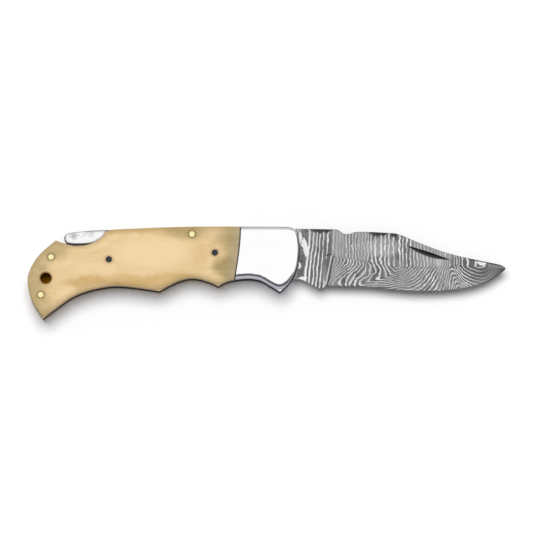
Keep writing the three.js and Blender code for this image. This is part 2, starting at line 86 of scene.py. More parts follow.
LOCK_PIN = (FRONT - 39.6, SPINE - 2.9)
UPPER_TAIL_PIN = (SPACER_FRONT - 3.0, SPINE - 11.4)
LOWER_TAIL_PIN = (BUTT + 4.9, -12.1)
LANYARD_HOLE = (BUTT + 6.8, -5.9)
BRASS_PINS = (LOCK_PIN, UPPER_TAIL_PIN, LOWER_TAIL_PIN)
RIVETS = {"rear_rivet": (BUTT + 30.2, 1.1), "front_rivet": (SEAM_X - 9.5, 3.6)}

# Fineness of curves
SPLINE_STEPS = 8
ROUND_STEPS = 8
HOLE_STEPS = 64
WHEEL_STEPS = 720
HEEL_STEPS = 30
RELIEF_STEPS = 10
TOOTH_STEPS = 6
BAR_EDGE_STEPS = 6
TANG_STEP = 0.25
BLADE_STEP = 0.5
MEETING = 1e-5
FIT_ERROR = 0.01
OVERCUT = 0.1
FAR_OUT = 100

# The handle's worn and polished edges, and how pointed a corner gets a row of points of its own
EDGE_WIDTH = 3.2
EDGE_DEPTH = 1.2
CAP_MARGIN = 0.2
CORNER_SOFTNESS = 0.8
CORNER_MITRE = 1.02

# The smaller edges
BAR_EDGE = 0.6
PIN_CHAMFER = 0.15
RIVET_CHAMFER = 0.2
RIVET_SINK = 0.1
BLADE_CHAMFER = 0.15
TANG_CHAMFER = 0.1


# Outlines

# The handle's, in stretches that each start where the one before ends
SPINE_LINE = [
    (BUTT + 30.5, SPINE - 1.3),
    (BUTT + 35.0, SPINE - 0.9),
    (SEAM_X - 18.8, SPINE),
    (FRONT - 7.6, SPINE),
    (FRONT - 3.1, SPINE - 0.2),
    (FRONT - 1.3, SPINE - 0.5),
]
FRONT_LINE = [
    SPINE_LINE[-1],
    (FRONT - 0.5, SPINE - 3.3),
    (FRONT, SPINE - 8.6),
    (FRONT - 0.9, -2.05),
    (FRONT - 3.5, -7.4),
    (FRONT - 6.9, -10.8),
]
BOLSTER_SCOOP = [
    FRONT_LINE[-1],
    (FRONT - 10.6, -8.6),
    (FRONT - 14.3, -SCOOP - 0.65),
    (FRONT - 19.1, -SCOOP),
    (SEAM_X - 3.9, -SCOOP - 0.85),
    (SEAM_X - 8.3, -8.75),
]
FINGER_SCOOP = [
    BOLSTER_SCOOP[-1],
    (SEAM_X - 11.3, -SCOOP - 1.45),
    (SEAM_X - 16.9, -SCOOP),
    (SEAM_X - 22.5, -SCOOP - 0.85),
    (SEAM_X - 30.1, -10.6),
]
BELLY_LINE = [
    FINGER_SCOOP[-1],
    (BUTT + 34.3, -8.8),
    (BUTT + 25.0, -9.9),
    (BUTT + 17.5, -12.5),
    (BUTT + 11.9, -16.2),
    (BUTT + 5.7, -20.9),
]
BUTT_LINE = [
    BELLY_LINE[-1],
    (BUTT + 1.6, -14.2),
    (BUTT, -7.1),
    (BUTT + 1.1, -2.2),
    (BUTT + 4.5, SPINE - 10.3),
    (BUTT + 10.4, SPINE - 5.1),
]
LEVER_SCOOP = [
    BUTT_LINE[-1],
    (BUTT + 15.7, SPINE - 6.9),
    (BUTT + 20.2, SPINE - 7.15),
    (BUTT + 25.0, SPINE - 5.7),
    (BUTT + 27.9, SPINE - 3.5),
    (BUTT + 28.9, SPINE - 1.9),
    SPINE_LINE[0],
]

# The slightly bowed line where scale and bolster meet
SEAM_LINE = [
    (SEAM_X + 0.3, SPINE + 2),
    (SEAM_X - 0.15, SPINE - 6),
    (SEAM_X - 0.9, 1.1),
    (SEAM_X - 2.3, -SCOOP - 2),
]

BLADE_SPINE = [
    (-1.5, SPINE),
    (FRONT, SPINE - 0.4),
    (PLUNGE + 0.4, SPINE - 0.65),
    (PLUNGE + 2.4, SPINE - 0.9),
    (PLUNGE + 3.6, SPINE - 1.9),
    (PLUNGE + 5.0, SPINE - 2.35),
    (PLUNGE + 6.8, SPINE - 2.2),
    (PLUNGE + 8.8, SPINE - 1.55),
    (REACH - 42.1, SPINE - 2.05),
    (REACH - 39.5, SPINE - 2.6),
    (REACH - 31.8, SPINE - 5.8),
    (REACH - 24.4, SPINE - 8.6),
    (REACH - 16.9, 2.7),
    (REACH - 9.5, 1.1),
    (REACH - 3.0, -0.2),
    (REACH - 0.9, -0.9),
    (REACH, -1.6),
]
BLADE_EDGE = [
    (PLUNGE - 5.0, -8.1),
    (PLUNGE - 0.8, -8.5),
    (PLUNGE + 14.0, -9.0),
    (REACH - 39.3, -10.2),
    (REACH - 30.0, -10.6),
    (REACH - 20.7, -10.15),
    (REACH - 13.2, -8.95),
    (REACH - 7.6, -7.1),
    (REACH - 2.1, -3.9),
    (REACH, -2.0),
]
GRIND_LINE = [
    (PLUNGE - 5.0, 3.4),
    (PLUNGE + 6.6, 2.2),
    (PLUNGE + 12.0, 1.1),
    (REACH - 40.4, -1.1),
    (REACH - 20.0, -0.9),
    (REACH - 8.0, -1.2),
    (REACH, -1.8),
]
DISTAL_TAPER = [
    (PLUNGE - 5.0, HALF_BLADE),
    (PLUNGE + 25.4, HALF_BLADE),
    (REACH - 10.0, 0.7 * HALF_BLADE),
    (REACH, 0.4 * HALF_BLADE),
]

# Where the ground part starts, and the least height of its cheek and of its grind
GROUND_FROM = PLUNGE - 4.5
LEAST_HEIGHT = 0.1

# The keen bevel: how high it is, at most which share of the grind, and half the blade's thickness
# above it and at the edge
BEVEL_HEIGHT = 0.5
BEVEL_SHARE = 0.6
HALF_EDGE = 0.12
HALF_KEEN = 0.03

RICASSO_BOTTOM = [
    (PLUNGE - 2.15, -7.6),
    (PLUNGE - 3.2, -9.0),
    (PLUNGE - 4.6, -9.4),
    (PLUNGE - 6.4, -8.75),
    (FRONT + 2.4, -6.65),
    (FRONT + 0.6, -5.9),
]
PLUNGE_LINE = [
    (PLUNGE + 0.3, 3.5),
    (PLUNGE, 3.15),
    (PLUNGE - 0.5, 0.7),
    (PLUNGE - 1.6, -4.9),
]

# The nail nick is a little longer and deeper than the part's, so that its thin ends and its lower
# side show
NICK_CENTRE = (REACH - 28.35, SPINE - 9.5)
NICK_ANGLE = math.radians(-18.2)
NICK_LENGTH = 17.4
NICK_DEPTH = 1.0

# The disc that cuts the nick widens from its rim inwards: over this depth, this far down and up
CUTTER_RIM = 2 * NICK_DEPTH
CUTTER_BELOW = 2.8 * NICK_DEPTH
CUTTER_ABOVE = 0.7 * NICK_DEPTH

# A face whose normal's z is larger is the cheek's, and not the nick's
CHEEK_NORMAL = 0.95

LEVER_OUTLINE = [
    (LEVER_END + 8.9, SPINE - 6.2),
    (LEVER_END + 1.8, SPINE - 6.3),
    (LEVER_END + 0.5, SPINE - 5.3),
    (LEVER_END, SPINE - 3.6),
    (LEVER_END + 1.4, SPINE - 2.2),
    (LEVER_END + 5.9, SPINE - 1.45),
    (LEVER_END + 13.3, SPINE - 0.9),
    (LEVER_END + 21.5, SPINE - 0.8),
]
BAR_UNDERSIDE = [
    (TOOTH_REAR_X, 8.35),
    (LOCK_PIN[0] + 15, 8.35),
    (LOCK_PIN[0] + 10, SPINE - 5.4),
    (LOCK_PIN[0] - 10, SPINE - 5.4),
    (LEVER_END + 16, SPINE - 5.8),
]


# Curves

def smooth_line(points):
    """Points along an even Catmull-Rom curve through the given ones."""
    last = len(points) - 1
    line = []
    for i in range(last):
        before, start = Vector(points[max(i - 1, 0)]), Vector(points[i])
        end, after = Vector(points[i + 1]), Vector(points[min(i + 2, last)])
        lead, follow = (end - before) / 2, (after - start) / 2
        for k in range(SPLINE_STEPS):
            t = k / SPLINE_STEPS
            bend = (2 * start - 2 * end + lead + follow) * t**3
            bend += (3 * end - 3 * start - 2 * lead - follow) * t**2
            line.append(bend + lead * t + start)
    return [*line, Vector(points[last])]


def joined(*stretches):
    """Stretches end to end, each starting where the last one ended."""
    return [point for stretch in stretches for point in stretch[:-1]]


def height_at(points, x):
    """The height at x of a smooth line through points listed from left to right."""
    last = len(points) - 1
    i = 0
    while i < last - 1 and x > points[i + 1][0]:
        i += 1

    def slope(k):
        left, right = points[max(k - 1, 0)], points[min(k + 1, last)]
        return (right[1] - left[1]) / (right[0] - left[0])

    (x0, y0), (x1, y1) = points[i], points[i + 1]
    width = x1 - x0
    t = min(max((x - x0) / width, 0), 1)
    bend = t * (1 - t) ** 2 * slope(i) - t * t * (1 - t) * slope(i + 1)
    return y0 + (y1 - y0) * t * t * (3 - 2 * t) + width * bend


def arc(centre, radius, start, end, steps):
    turn = [start + (end - start) * i / steps for i in range(steps + 1)]
    return [Vector(centre) + radius * Vector((math.cos(a), math.sin(a))) for a in turn]


def mitres(line):
    """For each corner of a closed line, how far it moves while its sides move inwards by one."""
    count = len(line)
    area = sum(line[i - 1].cross(line[i]) for i in range(count))
    side = 1 if area > 0 else -1
    moves = []
    for i in range(count):
        before = (line[i] - line[i - 1]).normalized()
        after = (line[(i + 1) % count] - line[i]).normalized()
        first = side * Vector((-before.y, before.x))
        second = side * Vector((-after.y, after.x))
        moves.append((first + second) / (1 + first.dot(second)))
    return moves


def inset(line, distance):
    """A closed line moved inwards by a distance that is small next to its points' spacing."""
    return [point + distance * move for point, move in zip(line, mitres(line))]


def edge_distances(points, line):
    """How far each point is from a line."""
    places = np.array(points)[:, None, :]
    ends = np.array(line)[None, :, :]
    starts, spans = ends[:, :-1], np.diff(ends, axis=1)
    share = ((places - starts) * spans).sum(2) / (spans**2).sum(2)
    nearest = starts + spans * np.clip(share, 0, 1)[:, :, None]
    return np.sqrt(((places - nearest) ** 2).sum(2)).min(1)


# Meshes

def in_frame(x, y, z):
    return (Vector((x, y, z)) + PIVOT) * MM


def made(name, bm):
    bmesh.ops.recalc_face_normals(bm, faces=bm.faces)
    mesh = bpy.data.meshes.new(name)
    bm.to_mesh(mesh)
    bm.free()
    obj = bpy.data.objects.new(name, mesh)
    bpy.context.scene.collection.objects.link(obj)
    return obj


def band(bm, lower, upper):
    """The faces between two closed rings of corners."""
    for i in range(len(lower)):
        k = (i + 1) % len(lower)
        bm.faces.new((lower[i], lower[k], upper[k], upper[i]))


def lofted(name, bm, loops):
    """A closed solid through rings of corners."""
    for lower, upper in zip(loops, loops[1:]):
        band(bm, lower, upper)
    bm.faces.new(loops[0])
    bm.faces.new(loops[-1])
    return made(name, bm)


def stack(name, rings):
    """A closed solid from rings, each a list of (x, y) and a height."""
    bm = bmesh.new()
    loops = [[bm.verts.new(in_frame(p[0], p[1], z)) for p in line] for line, z in rings]
    return lofted(name, bm, loops)


def edge_points(line):
    """The outline's points and, over the edge's width, rows of points further and further in."""
    closed = [*line, line[0]]
    moves = mitres(line)
    turns = [math.pi / 2 * k / ROUND_STEPS for k in range(1, ROUND_STEPS + 1)]
    backs = [EDGE_WIDTH * (1 - math.cos(turn)) for turn in turns]
    points = list(line)
    for back in [*backs, EDGE_WIDTH + CAP_MARGIN]:
        inner = [p + back * m for p, m in zip(line, moves)]
        sharp = [(p, m) for p, m in zip(line, moves) if m.length > CORNER_MITRE]
        corners = [p + back * m.normalized() for p, m in sharp]
        for row in (inner, corners):
            fits = abs(edge_distances(row, closed) - back) < FIT_ERROR
            points += [p for p, fit in zip(row, fits) if fit]
    return points


def edge_heights(points, stretches):
    """The drop at each point of an edge that is a quarter of an ellipse, softer at the corners."""
    ways = np.stack([edge_distances(points, stretch) for stretch in stretches])
    nearest = ways.min(0)
    crowding = np.log(np.exp((nearest - ways) / CORNER_SOFTNESS).sum(0))
    left = 1 - np.clip((nearest - CORNER_SOFTNESS * crowding) / EDGE_WIDTH, 0, 1)
    return -EDGE_DEPTH * (1 - np.sqrt(1 - left**2))


def rounded_plate(name, stretches, low, high):
    """A plate with a rounded upper edge, from the stretches of its outline."""
    line = joined(*stretches)
    count = len(line)
    outline = [list(range(count))]
    flat = delaunay_2d_cdt(edge_points(line), [], outline, 1, MEETING)
    found, faces, origins = flat[0], flat[2], flat[3]
    bm = bmesh.new()
    verts = [
        bm.verts.new(in_frame(point[0], point[1], high + drop))
        for point, drop in zip(found, edge_heights(found, stretches))
    ]
    for face in faces:
        bm.faces.new([verts[i] for i in face])
    upper = {i: verts[k] for k, ids in enumerate(origins) for i in ids if i < count}
    lower = [bm.verts.new(in_frame(p[0], p[1], low)) for p in line]
    band(bm, lower, upper)
    bm.faces.new(lower)
    return made(name, bm)


def circle(centre, radius):
    return arc(centre, radius, 0, 2 * math.pi, HOLE_STEPS)[:-1]


def rod(name, centre, radius, low, high, chamfer=0.0):
    """A round rod, or with a chamfer one whose two ends are broken."""
    full = circle(centre, radius)
    rings = [(full, low), (full, high)]
    if chamfer:
        end = circle(centre, radius - chamfer)
        rings = [(end, low), (full, low + chamfer), (full, high - chamfer), (end, high)]
    return stack(name, rings)


def combine(target, tools, operation):
    """Joins or cuts target with the tools, which are used up."""
    for tool in tools:
        step = target.modifiers.new("step", "BOOLEAN")
        step.operation = operation
        step.solver = "MANIFOLD"
        step.object = tool
    bpy.context.view_layer.update()
    ready = target.evaluated_get(bpy.context.evaluated_depsgraph_get())
    mesh = bpy.data.meshes.new_from_object(ready)
    target.modifiers.clear()
    target.data = mesh
    for tool in tools:
        bpy.data.objects.remove(tool)
    return target


def mirrored(obj, name):
    """A copy on the other side of the knife's middle plane."""
    copy = obj.copy()
    copy.data = obj.data.copy()
    copy.name = name
    for vertex in copy.data.vertices:
        vertex.co.z = 2 * PIVOT.z * MM - vertex.co.z
    copy.data.flip_normals()
    bpy.context.scene.collection.objects.link(copy)
    return copy


def dressed(obj, body, material, nodes, sharp=30):
    """Shading, material, body and place in the frame for a finished piece."""
    mesh = obj.data
    mesh.shade_smooth()
    mesh.set_sharp_from_angle(angle=math.radians(sharp))
    mesh.materials.clear()
    mesh.materials.append(material)
    evened = obj.modifiers.new("even", "WEIGHTED_NORMAL")
    evened.keep_sharp = True
    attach(obj, body)
    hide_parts(*nodes)
    return obj


def dressed_pair(near, material, node_name):
    """A near piece of the handle and its mirror image, which is the far piece."""
    far = mirrored(near, near.name.replace("near", "far"))
    dressed(near, "handle", material, [f"near_{node_name}"])
    dressed(far, "handle", material, [f"far_{node_name}"])


# Shader nodes

# Which sockets of a mix node are those for colours
MIX_FACTOR = 0
MIX_FIRST = 6
MIX_SECOND = 7
MIX_RESULT = 2


def new_material(name):
    material = bpy.data.materials.new(name)
    material.use_nodes = True
    return material, material.node_tree, material.node_tree.nodes["Principled BSDF"]


def node(tree, kind, inputs=None, **settings):
    """A shader node of this kind, with each input linked or given its value."""
    fresh = tree.nodes.new(f"ShaderNode{kind}")
    for key, value in settings.items():
        setattr(fresh, key, value)
    for key, value in (inputs or {}).items():
        if isinstance(value, bpy.types.NodeSocket):
            tree.links.new(value, fresh.inputs[key])
        else:
            fresh.inputs[key].default_value = value
    return fresh


def calc(tree, operation, *values):
    return node(tree, "Math", dict(enumerate(values)), operation=operation).outputs[0]


def times(tree, first, second):
    return calc(tree, "MULTIPLY", first, second)


def minus(tree, first, second):
    return calc(tree, "SUBTRACT", first, second)


def vector(tree, operation, *values):
    inputs = dict(enumerate(values))
    return node(tree, "VectorMath", inputs, operation=operation).outputs["Vector"]


def place_mm(tree):
    """The point on the piece, in millimetres from the blade's pivot."""
    coordinate = node(tree, "TexCoord").outputs["Object"]
    return vector(tree, "SUBTRACT", vector(tree, "MULTIPLY", coordinate, (1000,) * 3), PIVOT)


def noise(tree, place, scale, detail, roughness=0.5):
    """A noise of about 0 to 1, with scale in cells per millimetre along each axis."""
    cells = vector(tree, "MULTIPLY", place, scale)
    inputs = {"Vector": cells, "Scale": 1.0, "Detail": detail, "Roughness": roughness}
    return node(tree, "TexNoise", inputs).outputs["Fac"]


def remap(tree, value, low, high, new_low=0.0, new_high=1.0, smooth=True):
    """From new_low to new_high, while the value goes from low to high."""
    inputs = {"Value": value, 1: low, 2: high, 3: new_low, 4: new_high}
    kind = "SMOOTHSTEP" if smooth else "LINEAR"
    return node(tree, "MapRange", inputs, interpolation_type=kind).outputs[0]


def opaque(colour):
    """A plain colour with its alpha, and any other colour as it is."""
    return (*colour, 1.0) if isinstance(colour, tuple) else colour


def mixed(tree, factor, first, second):
    """The first colour where the factor is 0, and the second where it is 1."""
    inputs = {MIX_FACTOR: factor, MIX_FIRST: opaque(first), MIX_SECOND: opaque(second)}
    return node(tree, "Mix", inputs, data_type="RGBA").outputs[MIX_RESULT]


def tinted(tree, mask, strength, colour, tint):
    """The colour, with this much of the tint where the mask is 1."""
    return mixed(tree, times(tree, mask, strength), colour, tint)


def axis_of(tree, place, axis):
    return node(tree, "SeparateXYZ", {0: place}).outputs[axis]


def spot(tree, place, centre, reach, softness):
    """1 in the middle of an ellipse on the side view, 0 beyond it."""
    moved = vector(tree, "SUBTRACT", place, (*centre, 0))
    scaled = vector(tree, "MULTIPLY", moved, (1 / reach[0], 1 / reach[1], 0))
    far = node(tree, "VectorMath", {0: scaled}, operation="LENGTH").outputs["Value"]
    return remap(tree, far, 1.0, 1.0 - softness)


def warped(tree, place, scale, reach):
    """The place moved about by a noise, for shapes with uneven edges."""
    inputs = {"Vector": place, "Scale": scale, "Detail": 3.0}
    texture = node(tree, "TexNoise", inputs).outputs["Color"]
    centred = vector(tree, "SUBTRACT", texture, (0.5,) * 3)
    return vector(tree, "MULTIPLY_ADD", centred, (reach,) * 3, place)


def bumped(tree, shader, height, strength, distance):
    inputs = {"Height": height, "Strength": strength, "Distance": distance}
    tree.links.new(node(tree, "Bump", inputs).outputs[0], shader.inputs["Normal"])


# Bone

CREAM = (0.78, 0.57, 0.30)
OLIVE = (0.325, 0.245, 0.095)
TAN = (0.58, 0.37, 0.13)
PALE = (0.88, 0.66, 0.37)
BROWN = (0.20, 0.12, 0.045)
STREAK = (0.95, 0.78, 0.53)
# Painted shade where the face rounds over at its edge
EDGE_SHADE = (0.46, 0.34, 0.16)
# Painted shade on the steep sides towards the liners
SIDE_SHADE = (0.05, 0.035, 0.025)
SEAM_GREY = (0.44, 0.38, 0.27)
SEAM_DARK = (0.06, 0.045, 0.04)
# Painted shade in the lanyard hole
HOLE_WALL_SHADE = (0.30, 0.11, 0.012)
CRACK = (BUTT + 33.6, -7.9)

# How the seam leans and bows, by the height above its third point
SEAM_LEAN = 0.13
SEAM_BOW = -0.0035

# Stains in the bone: place, reach, how strong, and which colour
STAINS = [
    ((BUTT + 46.0, 3.5), (24.0, 8.5), 0.9, PALE),
    ((BUTT + 24.0, -2.5), (11.0, 4.0), 0.6, PALE),
    ((BUTT + 15.0, -12.0), (5.0, 5.5), 0.5, PALE),
    ((SEAM_X - 15.0, 2.5), (5.0, 8.0), 0.3, TAN),
    ((SEAM_X - 38.0, 13.5), (32.0, 4.5), 0.8, TAN),
    ((BUTT + 22.0, -7.5), (12.0, 3.0), 0.8, TAN),
    ((BUTT + 38.0, -7.5), (16.0, 4.0), 0.75, TAN),
    ((BUTT + 55.0, -6.5), (15.0, 3.6), 0.7, TAN),
    ((SEAM_X + 1.0, 11.0), (14.0, 8.5), 0.85, OLIVE),
    ((SEAM_X - 4.0, -2.0), (8.0, 6.0), 0.9, OLIVE),
    ((SEAM_X + 1.0, 1.0), (8.0, 18.0), 0.6, OLIVE),
    ((SEAM_X - 20.0, 12.5), (12.0, 5.0), 0.75, OLIVE),
    ((SEAM_X - 2.5, 5.0), (6.5, 4.0), 0.45, OLIVE),
    ((BUTT + 2.0, -4.0), (9.0, 15.0), 0.65, OLIVE),
    ((BUTT + 9.0, 5.0), (9.0, 5.5), 0.6, OLIVE),
    ((BUTT + 5.0, -17.0), (7.0, 7.0), 0.45, OLIVE),
]


def shaded_sides(tree, place, colour, least=1.0):
    """The steep sides, darkened towards the liners with painted shade, fullest on the near piece's
    belly side, away from the light.

    least is how much of it the far piece and the spine's side have."""
    z = axis_of(tree, place, 2)
    shade_mask = remap(tree, calc(tree, "ABSOLUTE", z), FACE_Z - EDGE_DEPTH, SCALE_Z + 0.3, 0.0, 0.94)
    belly = remap(tree, axis_of(tree, place, 1), 7, 2)
    share = times(tree, belly, remap(tree, z, -0.1, 0.1))
    shade_mask = times(tree, shade_mask, remap(tree, share, 0, 1, least, 1.0))
    return mixed(tree, shade_mask, colour, SIDE_SHADE)


def natural_bone(tree, place, flow, cloud, fine):
    """Cream with clouds, stains and streaks that follow the flow, pores and one small crack."""
    grain = noise(tree, flow, (0.04, 0.35, 0.1), detail=5, roughness=0.6)
    colour = mixed(tree, remap(tree, grain, 0.45, 0.75, 0.0, 0.3), CREAM, TAN)
    colour = mixed(tree, remap(tree, cloud, 0.52, 0.7, 0.0, 0.4), colour, PALE)
    colour = mixed(tree, remap(tree, fine, 0.45, 0.75, 0.0, 0.1), colour, TAN)
    for centre, reach, strength, tint in STAINS:
        colour = tinted(tree, spot(tree, flow, centre, reach, 0.7), strength, colour, tint)

    streak = noise(tree, flow, (0.07, 0.5, 0.3), detail=4, roughness=0.6)
    colour = mixed(tree, remap(tree, streak, 0.5, 0.75, 0, 0.25), colour, STREAK)
    pore = noise(tree, place, (0.9, 2.6, 1.0), detail=2)
    colour = mixed(tree, remap(tree, pore, 0.68, 0.78, 0, 0.35), colour, BROWN)
    crack = spot(tree, warped(tree, place, 1.2, 1.0), CRACK, (0.9, 0.22), 0.5)
    return tinted(tree, crack, 0.8, colour, BROWN)


def browned_at_pins(tree, place, colour):
    """Old polish in a halo round each rivet and pin, and a ring close round each pin."""
    for centre in RIVETS.values():
        colour = tinted(tree, spot(tree, place, centre, (2.4, 2.4), 0.6), 0.5, colour, BROWN)
    for centre in BRASS_PINS:
        colour = tinted(tree, spot(tree, place, centre, (2.8, 2.6), 0.7), 0.35, colour, BROWN)
        colour = tinted(tree, spot(tree, place, centre, (1.8, 1.8), 0.3), 0.5, colour, BROWN)
    return colour


def greyed_at_seam(tree, place, colour):
    """Grey towards the bolster, and dark in the bowed seam itself."""
    middle_x, middle_y = SEAM_LINE[2]
    up = minus(tree, axis_of(tree, place, 1), middle_y)
    slope = calc(tree, "MULTIPLY_ADD", up, SEAM_BOW, SEAM_LEAN)
    seam = calc(tree, "MULTIPLY_ADD", slope, up, middle_x)
    behind = minus(tree, seam, axis_of(tree, place, 0))
    colour = mixed(tree, remap(tree, behind, 4.5, 0.8, 0.0, 0.45), colour, SEAM_GREY)
    return mixed(tree, remap(tree, behind, 0.6, 0.25, 0.0, 0.75), colour, SEAM_DARK)


def bone_material():
    material, tree, shader = new_material("polished_bone")
    place = place_mm(tree)
    flow = warped(tree, warped(tree, place, 0.1, 4.5), 0.45, 1.8)
    cloud = noise(tree, flow, (0.09, 0.2, 0.1), detail=2)
    fine = noise(tree, place, (0.25, 2.2, 0.5), detail=3, roughness=0.65)
    colour = natural_bone(tree, place, flow, cloud, fine)

    height = calc(tree, "ABSOLUTE", axis_of(tree, place, 2))
    # Painted shade: darker where the edge rounds down from the face
    edge = remap(tree, height, FACE_Z - 0.03, FACE_Z - 0.8, 0, 0.75, smooth=False)
    colour = mixed(tree, edge, colour, EDGE_SHADE)
    # Painted shade on the steep sides towards the liners
    colour = shaded_sides(tree, place, colour, least=0.25)
    colour = browned_at_pins(tree, place, colour)
    colour = greyed_at_seam(tree, place, colour)
    # Painted shade round the lanyard hole, deeper down its wall
    rim = spot(tree, place, LANYARD_HOLE, (3.0, 3.0), 0.35)
    deep = remap(tree, height, FACE_Z, FACE_Z - 0.6, 0.4, 1.0)
    colour = tinted(tree, rim, deep, colour, HOLE_WALL_SHADE)

    tree.links.new(colour, shader.inputs["Base Color"])
    tree.links.new(remap(tree, cloud, 0.3, 0.7, 0.26, 0.42), shader.inputs["Roughness"])
    bumped(tree, shader, fine, 0.08, 0.0001)
    return material


# Plain metals

def metal(name, colour, roughness, spread, marks, wear_and_shade=None):
    """Metal with scratches, and with smudges that are darker by marks.

    Its roughness goes up from roughness by spread, and wear_and_shade changes its colour place by
    place, with smudges, painted shade and painted highlights."""
    material, tree, shader = new_material(name)
    shader.inputs["Metallic"].default_value = 1.0
    place = place_mm(tree)
    smudge = noise(tree, place, (0.22, 0.4, 0.4), detail=4, roughness=0.6)
    scratch = noise(tree, place, (0.3, 6.0, 3.0), detail=3, roughness=0.7)
    smudged = tuple(c * (1 - marks) for c in colour)
    tint = mixed(tree, remap(tree, smudge, 0.45, 0.72), colour, smudged)
    if wear_and_shade:
        tint = wear_and_shade(tree, place, tint)
    tree.links.new(tint, shader.inputs["Base Color"])
    rough = remap(tree, scratch, 0.3, 0.7, roughness, roughness + spread)
    tree.links.new(rough, shader.inputs["Roughness"])
    bumped(tree, shader, scratch, 0.02 + 0.1 * marks, 0.00005)
    return material


def painted_liner_shade(tree, _place, colour):
    """The liners, bare where they face the spine and the butt, the sides the light comes from, and
    darkened elsewhere with painted shade.
    """
    facing = node(tree, "TexCoord").outputs["Normal"]
    spine_side = remap(tree, axis_of(tree, facing, 1), 0.2, 0.5)
    butt_end = remap(tree, axis_of(tree, facing, 0), -0.6, -0.9)
    lit_side = calc(tree, "MAXIMUM", spine_side, butt_end)
    # Painted shade on the faces turned away from the light
    return mixed(tree, remap(tree, lit_side, 0, 1, 0.86, 0.0), colour, (0.01, 0.006, 0.002))


def thumbed_and_shaded(tree, place, colour):
    """The lock bar, smudged at the lever's end, with painted shade where it meets the handle and
    along the lever's end.
    """
    speckled = warped(tree, place, 0.9, 2.4)
    smudge = spot(tree, speckled, (LEVER_END + 3.6, SPINE - 3.0), (2.6, 1.9), 0.9)
    colour = tinted(tree, smudge, 0.75, colour, (0.35, 0.35, 0.36))
    # Painted shade outside this ellipse, where the bar meets the handle
    clean = spot(tree, place, (LEVER_END + 5.8, SPINE - 0.4), (10.2, 6.0), 0.14)
    edge = minus(tree, 1.0, clean)
    colour = tinted(tree, edge, 0.8, colour, (0.12, 0.10, 0.11))
    # Painted shade along the lever's rounded end
    end = remap(tree, axis_of(tree, place, 0), LEVER_END + 1.2, LEVER_END + 0.2, 0.0, 0.75)
    return mixed(tree, end, colour, (0.12, 0.12, 0.13))


def highlighted_at_pins(tree, place, colour):
    """Brass pins, with a painted highlight over the middle of each end, darker at the rim."""
    reach = (1.05 * BRASS_RADIUS,) * 2
    for centre in BRASS_PINS:
        bright = spot(tree, place, centre, reach, 0.2)
        # Painted highlight
        colour = mixed(tree, bright, colour, (0.98, 0.88, 0.45))
    return colour


# Layered steel

# The number of the layer that the folds bring to the near cheek, at each place along the blade
LAYER_FOLDS = [
    (0.0, 32.9), (7.0, 32.4), (8.2, 32.0), (9.7, 31.0),
    (11.0, 30.0), (12.2, 29.0), (13.6, 28.0), (15.1, 27.0),
    (17.4, 26.0), (22.3, 22.4), (29.6, 16.0), (33.3, 13.2),
    (35.9, 11.9), (38.6, 10.0), (40.5, 8.9), (41.5, 8.5),
    (42.6, 8.9), (43.9, 10.0), (46.3, 11.6), (50.0, 14.2),
    (54.0, 17.0), (57.5, 19.8), (60.5, 22.9), (61.6, 23.9),
    (62.3, 24.0), (63.2, 23.2), (66.0, 20.2), (70.0, 18.2),
    (73.7, 17.3), (77.0, 18.4), (82.1, 21.2),
]
LAYERS_PER_MM = 6.0

# How far the folds lean back in the deepest grind, where LEAN_AHEAD stands for no lean at all
LEAN_AHEAD = 5.0
FOLD_LEAN = [
    (0.0, 20.0), (24.0, 20.0), (40.0, 12.0), (61.0, 1.0),
    (70.0, 2.0), (82.1, 5.0),
]

# How bold the lines are along the cheek, how bold along the grind, and how much wider the bright
# ones get
CHEEK_FORCE = [
    (0.0, 1.0), (17.0, 1.0), (18.4, 0.32), (22.3, 0.35),
    (23.6, 0.7), (26.0, 0.7), (27.5, 0.35), (30.0, 0.4),
    (31.5, 0.85), (46.0, 1.0), (48.5, 0.45), (60.0, 0.4),
    (63.0, 0.95), (74.0, 0.8), (79.0, 0.1), (82.1, 0.05),
]
GRIND_FORCE = [
    (0.0, 1.0), (17.0, 0.3), (19.5, 0.4), (21.5, 0.95),
    (26.5, 0.9), (30.0, 0.8), (36.0, 1.0), (40.0, 0.9),
    (43.0, 0.5), (50.0, 0.5), (52.5, 0.95), (56.0, 0.85),
    (58.0, 0.6), (61.0, 0.65), (63.0, 1.0), (67.0, 0.9),
    (71.0, 0.45), (75.0, 0.15), (82.1, 0.05),
]
LINE_WIDENING = [
    (0.0, 0.03), (11.6, 0.03), (15.6, 0.0), (61.0, 0.0),
    (64.0, 0.03), (76.0, 0.03), (82.1, 0.0),
]

# Spots on the blade: place, reach and softness
CALM_SPOT = ((15.6, -2.8), (2.0, 5.4), 0.3)
BEFORE_PLUNGE = ((15.9, 4.0), (2.0, 9.0), 0.5)
TOWARDS_POINT = ((69.0, -1.5), (9.0, 7.0), 0.5)
RUBBED_SPOT = ((57.3, 1.1), (1.7, 3.4), 0.6)
PALE_SPOT = ((36.5, 6.0), (8.0, 4.5), 0.4)

# Each spot's strength and colour
BLADE_SHADES = [
    (CALM_SPOT, 0.6, (0.17, 0.167, 0.165)),
    (TOWARDS_POINT, 0.85, (0.11, 0.108, 0.105)),
    (BEFORE_PLUNGE, 0.75, (0.12, 0.118, 0.115)),
    (RUBBED_SPOT, 0.5, (0.85, 0.85, 0.84)),
    (PALE_SPOT, 0.35, (0.66, 0.655, 0.65)),
]

